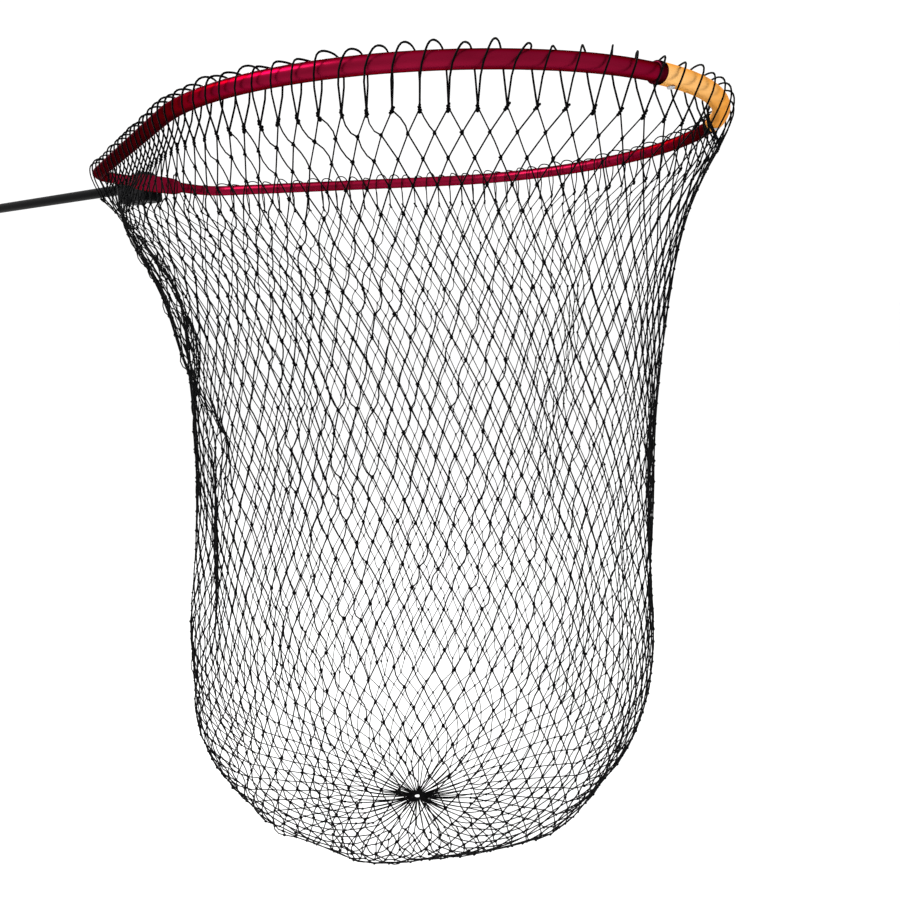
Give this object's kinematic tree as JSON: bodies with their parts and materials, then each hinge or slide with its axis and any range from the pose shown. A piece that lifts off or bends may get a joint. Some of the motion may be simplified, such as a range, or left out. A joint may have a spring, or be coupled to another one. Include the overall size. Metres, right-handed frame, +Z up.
{
  "type": "landing net",
  "caption": "Long-handled landing net with a pear-shaped round-tube hoop, gold tip section, deep knotted mesh bag and twist-lock telescopic handle.",
  "frame": {"origin": "middle of the hand grip, on the handle's axis", "axes": "+X along the handle towards the hoop's tip, +Z up out of the hoop's mouth, the bag hangs down -Z"},
  "size_m": [2.0387, 0.6518, 0.996],
  "materials": {
    "wine_anodised": "satin anodised, wine red",
    "gold_anodised": "satin anodised, light gold",
    "black_anodised": "satin anodised, black",
    "black_moulding": "moulded glass-filled nylon, black",
    "black_acetal": "smooth acetal, black",
    "foam_grip": "closed-cell foam, black",
    "black_rubber": "moulded rubber, black",
    "net_twine": "knotted nylon twine, black",
    "bright_steel": "bright stainless steel",
    "brass": "turned brass",
    "ferrule_metal": "dark coated metal"
  },
  "bodies": {
    "handle": {"outer_tube": "black_anodised", "grip": "foam_grip", "butt_cap": "black_rubber", "lock_sleeve": "black_moulding", "collet": "black_acetal"},
    "lock": {"lock_ring": "black_moulding", "wiper_ring": "black_rubber"},
    "hoop": {"inner_tube": "black_anodised", "guide_bush": "black_acetal", "slide_ring": "black_acetal", "yoke_lower": "black_moulding", "yoke_upper": "black_moulding", "yoke_inserts": "brass", "yoke_screws": "bright_steel", "transom_rivets": "wine_anodised", "rivet_washers": "bright_steel", "transom_insert": "black_acetal", "hoop_tube": "wine_anodised", "tip_bow": "gold_anodised", "tip_ferrule_far": "ferrule_metal", "tip_ferrule_near": "ferrule_metal", "tip_rivets": "bright_steel", "snap_spring": "bright_steel", "net_bag": "net_twine", "gather_ring": "net_twine"},
    "button": {"snap_button": "bright_steel"}
  },
  "joints": [
    {"name": "handle_slide", "type": "slide", "parent": "handle", "child": "hoop", "axis": [1, 0, 0], "range_m": [-0.42, 0]},
    {"name": "lock_turn", "type": "hinge", "parent": "handle", "child": "lock", "pos_m": [0.47, 0, 0], "axis": [1, 0, 0], "range_deg": [0, 120]},
    {"name": "snap_button_press", "type": "slide", "parent": "hoop", "child": "button", "axis": [0, 0, 1], "range_m": [-0.005, 0], "stiffness_N_per_m": 900, "springref_m": 0.003, "deforming": ["snap_spring"]}
  ]
}
